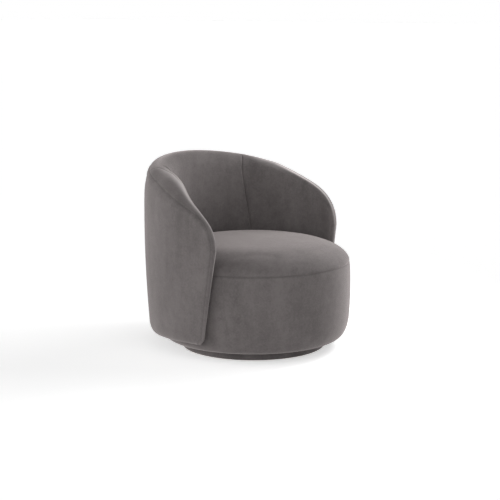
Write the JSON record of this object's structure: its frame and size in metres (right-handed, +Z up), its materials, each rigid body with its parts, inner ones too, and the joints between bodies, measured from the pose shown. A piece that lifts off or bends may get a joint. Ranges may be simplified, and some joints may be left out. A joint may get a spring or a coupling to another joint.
{
  "type": "swivel chair",
  "caption": "Velvet tub chair with a round crowned seat and a wrap-around back that sweeps down into the arms, turning on a low round plinth.",
  "frame": {"origin": "on the floor, on the swivel axis", "axes": "+Z up along the swivel axis, -Y out of the front of the chair, +X to the sitter's left"},
  "size_m": [0.8116, 0.7696, 0.71],
  "materials": {
    "velvet": "matte",
    "foam": "matte",
    "webbing": "matte",
    "dust_cloth": "matte",
    "felt": "matte",
    "plywood": "matte",
    "hardboard": "matte",
    "pressed_steel": "satin",
    "bright_steel": "polished",
    "zinc": "satin",
    "nylon": "satin"
  },
  "bodies": {
    "base": {"floor_ring": "felt", "plinth_lower_board": "plywood", "plinth_upper_board": "plywood", "plinth_board_screws": "zinc", "plinth_edge_band": "hardboard", "plinth_cover": "velvet", "swivel_lower_plate": "pressed_steel", "lower_plate_screws": "zinc", "pivot_pin": "bright_steel", "pivot_washer": "bright_steel", "pivot_lock_nut": "bright_steel"},
    "ball_race": {"ball_cage": "nylon", "bearing_balls": "bright_steel"},
    "chair": {"swivel_upper_plate": "pressed_steel", "upper_plate_screws": "zinc", "pivot_bush": "nylon", "seat_base_board": "plywood", "dust_cover": "dust_cloth", "drum_wall": "plywood", "seat_ring": "plywood", "seat_webbing": "webbing", "seat_foam": "foam", "drum_padding": "foam", "seat_top_panel": "velvet", "seat_band_cover": "velvet", "outside_back_cover": "velvet", "back_panel": "plywood", "back_foam": "foam", "inside_back_cover": "velvet", "inside_arm_cover_right": "velvet", "inside_arm_cover_left": "velvet", "arm_facing_right": "velvet", "arm_facing_left": "velvet", "front_edge_strip_right": "velvet", "front_edge_strip_left": "velvet", "back_bolts": "zinc", "back_bolt_washers": "zinc", "back_tee_nuts": "zinc"}
  },
  "joints": [
    {"name": "swivel", "type": "hinge", "parent": "base", "child": "chair", "pos_m": [0, 0, 0], "axis": [0, 0, 1], "continuous": true},
    {"name": "ball_race_turn", "type": "hinge", "parent": "base", "child": "ball_race", "pos_m": [0, 0, 0], "axis": [0, 0, 1], "continuous": true}
  ],
  "couplings": [
    {"joint": "ball_race_turn", "follows": "swivel", "ratio": 0.5}
  ]
}
